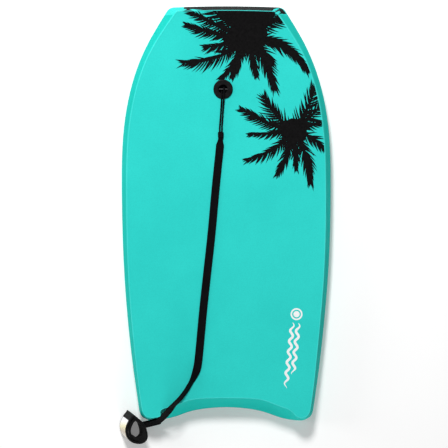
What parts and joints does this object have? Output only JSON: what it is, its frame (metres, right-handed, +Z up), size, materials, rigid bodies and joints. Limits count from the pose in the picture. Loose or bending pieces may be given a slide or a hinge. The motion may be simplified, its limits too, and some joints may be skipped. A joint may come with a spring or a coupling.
{
  "type": "bodyboard",
  "caption": "Laminated foam bodyboard with a crescent tail, slick bottom, through-board leash plug and a wrist leash with a hook-and-loop cuff.",
  "frame": {"origin": "on the resting surface, below the middle of the board's box (without the leash), with the slick bottom on that surface", "axes": "+Y from tail to nose, +Z up out of the deck, +X to the rider's right"},
  "size_m": [0.4791, 0.9899, 0.0641],
  "materials": {
    "deck_foam": "matte",
    "rail_foam": "matte",
    "core_foam": "matte",
    "slick_sheet": "satin",
    "plug_plastic": "satin",
    "plug_pin_metal": "satin",
    "leash_cord": "matte",
    "leash_webbing": "matte",
    "cuff_neoprene": "matte",
    "fastening_tape": "matte",
    "label_film": "satin"
  },
  "bodies": {
    "board": {"deck_skin": "deck_foam", "rail_skin_left": "rail_foam", "rail_skin_right": "rail_foam", "tail_strip": "rail_foam", "foam_core": "core_foam", "slick_bottom": "slick_sheet", "leash_plug_cup": "plug_plastic", "leash_plug_nut": "plug_plastic", "leash_plug_pin": "plug_pin_metal", "leash_string": "leash_cord", "leash_string_sleeve": "leash_webbing", "leash_webbing": "leash_webbing", "leash_end_tab": "leash_webbing", "cuff_band": "cuff_neoprene", "cuff_loop_tape": "fastening_tape"},
    "flap": {"cuff_flap": "cuff_neoprene", "cuff_hook_tape": "fastening_tape", "cuff_label": "label_film"}
  },
  "joints": [
    {"name": "cuff_flap_hinge", "type": "hinge", "parent": "board", "child": "flap", "pos_m": [-0.2116, -0.457, 0.046], "axis": [-0.3423, 0.1571, -0.9264], "range_deg": [0, 75]}
  ]
}
